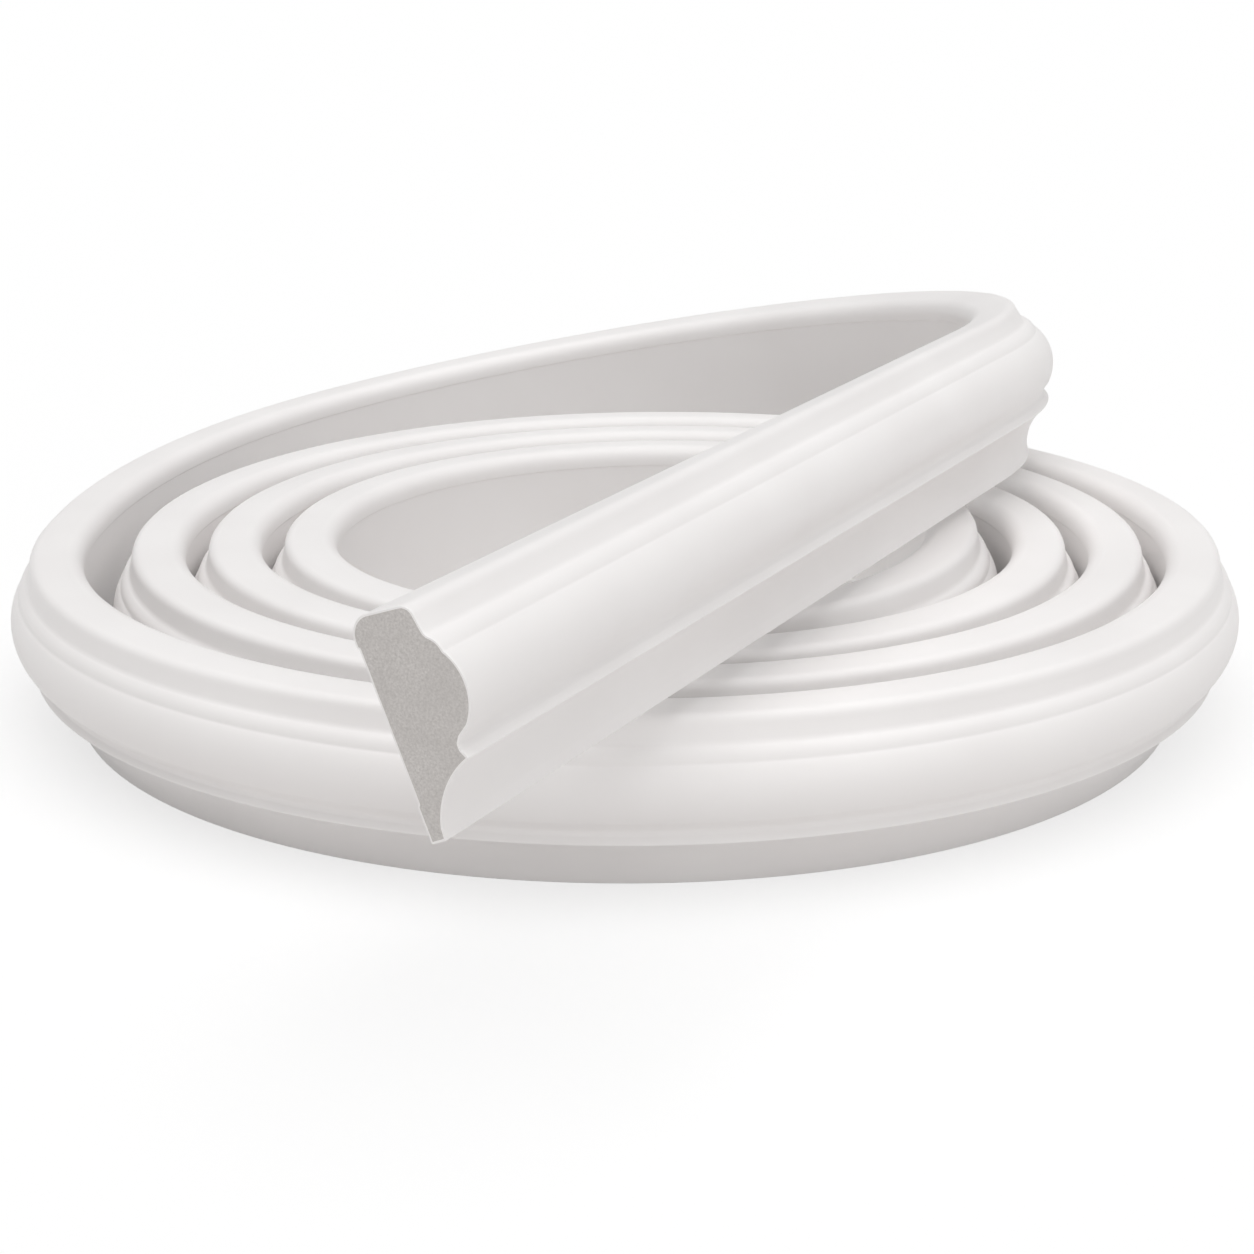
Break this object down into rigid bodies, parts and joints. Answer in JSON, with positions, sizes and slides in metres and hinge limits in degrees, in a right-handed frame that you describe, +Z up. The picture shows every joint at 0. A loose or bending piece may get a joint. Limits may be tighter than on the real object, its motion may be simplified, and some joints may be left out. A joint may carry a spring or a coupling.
{
  "type": "flexible arch moulding",
  "caption": "White flexible arch moulding: a profiled strip with a flat back, wound on edge into a loose coil with its free end lying across the top. It bends to trim an arch.",
  "frame": {"origin": "middle of the bounding box, on the floor that the lip stands on", "axes": "+Z up, +Y from the cut of the free end towards the back of the coil, +X to the right seen from the cut end"},
  "size_m": [0.4258, 0.6191, 0.1244],
  "materials": {
    "white_polyurethane": "satin white, as moulded"
  },
  "bodies": {
    "root": {"arch_moulding": "white_polyurethane"}
  },
  "joints": []
}
